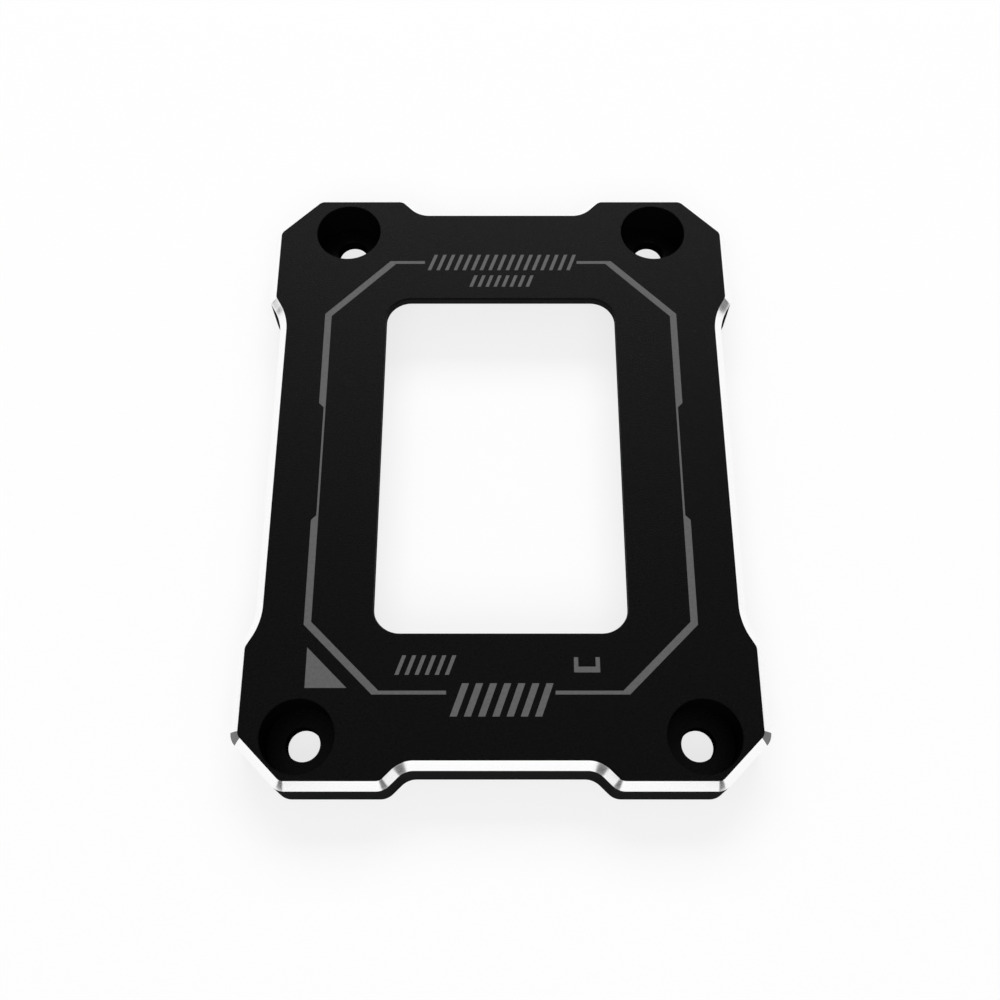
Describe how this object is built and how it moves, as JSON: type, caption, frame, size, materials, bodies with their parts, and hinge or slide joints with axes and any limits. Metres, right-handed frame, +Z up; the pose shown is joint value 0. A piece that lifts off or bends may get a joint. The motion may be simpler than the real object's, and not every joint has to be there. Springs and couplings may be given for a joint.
{
  "type": "cpu contact frame",
  "caption": "Flat milled frame with a large window, a pressing lip underneath, counterbored ears at its corners and a bright chamfer round its outer edge; it clamps a processor in its socket.",
  "frame": {"origin": "centre of the underside, at the middle of the frame's width and length", "axes": "+Z up, out of the top face with the screw head bores; +Y along the length, to the end whose screws stand closer together; +X across the width, to the right seen from above with +Y away"},
  "size_m": [0.054, 0.0708, 0.006],
  "materials": {
    "black_anodised": "bead blasted and black anodised, with a bright cut chamfer round the outer edge"
  },
  "bodies": {
    "root": {"contact_frame": "black_anodised"}
  },
  "joints": []
}
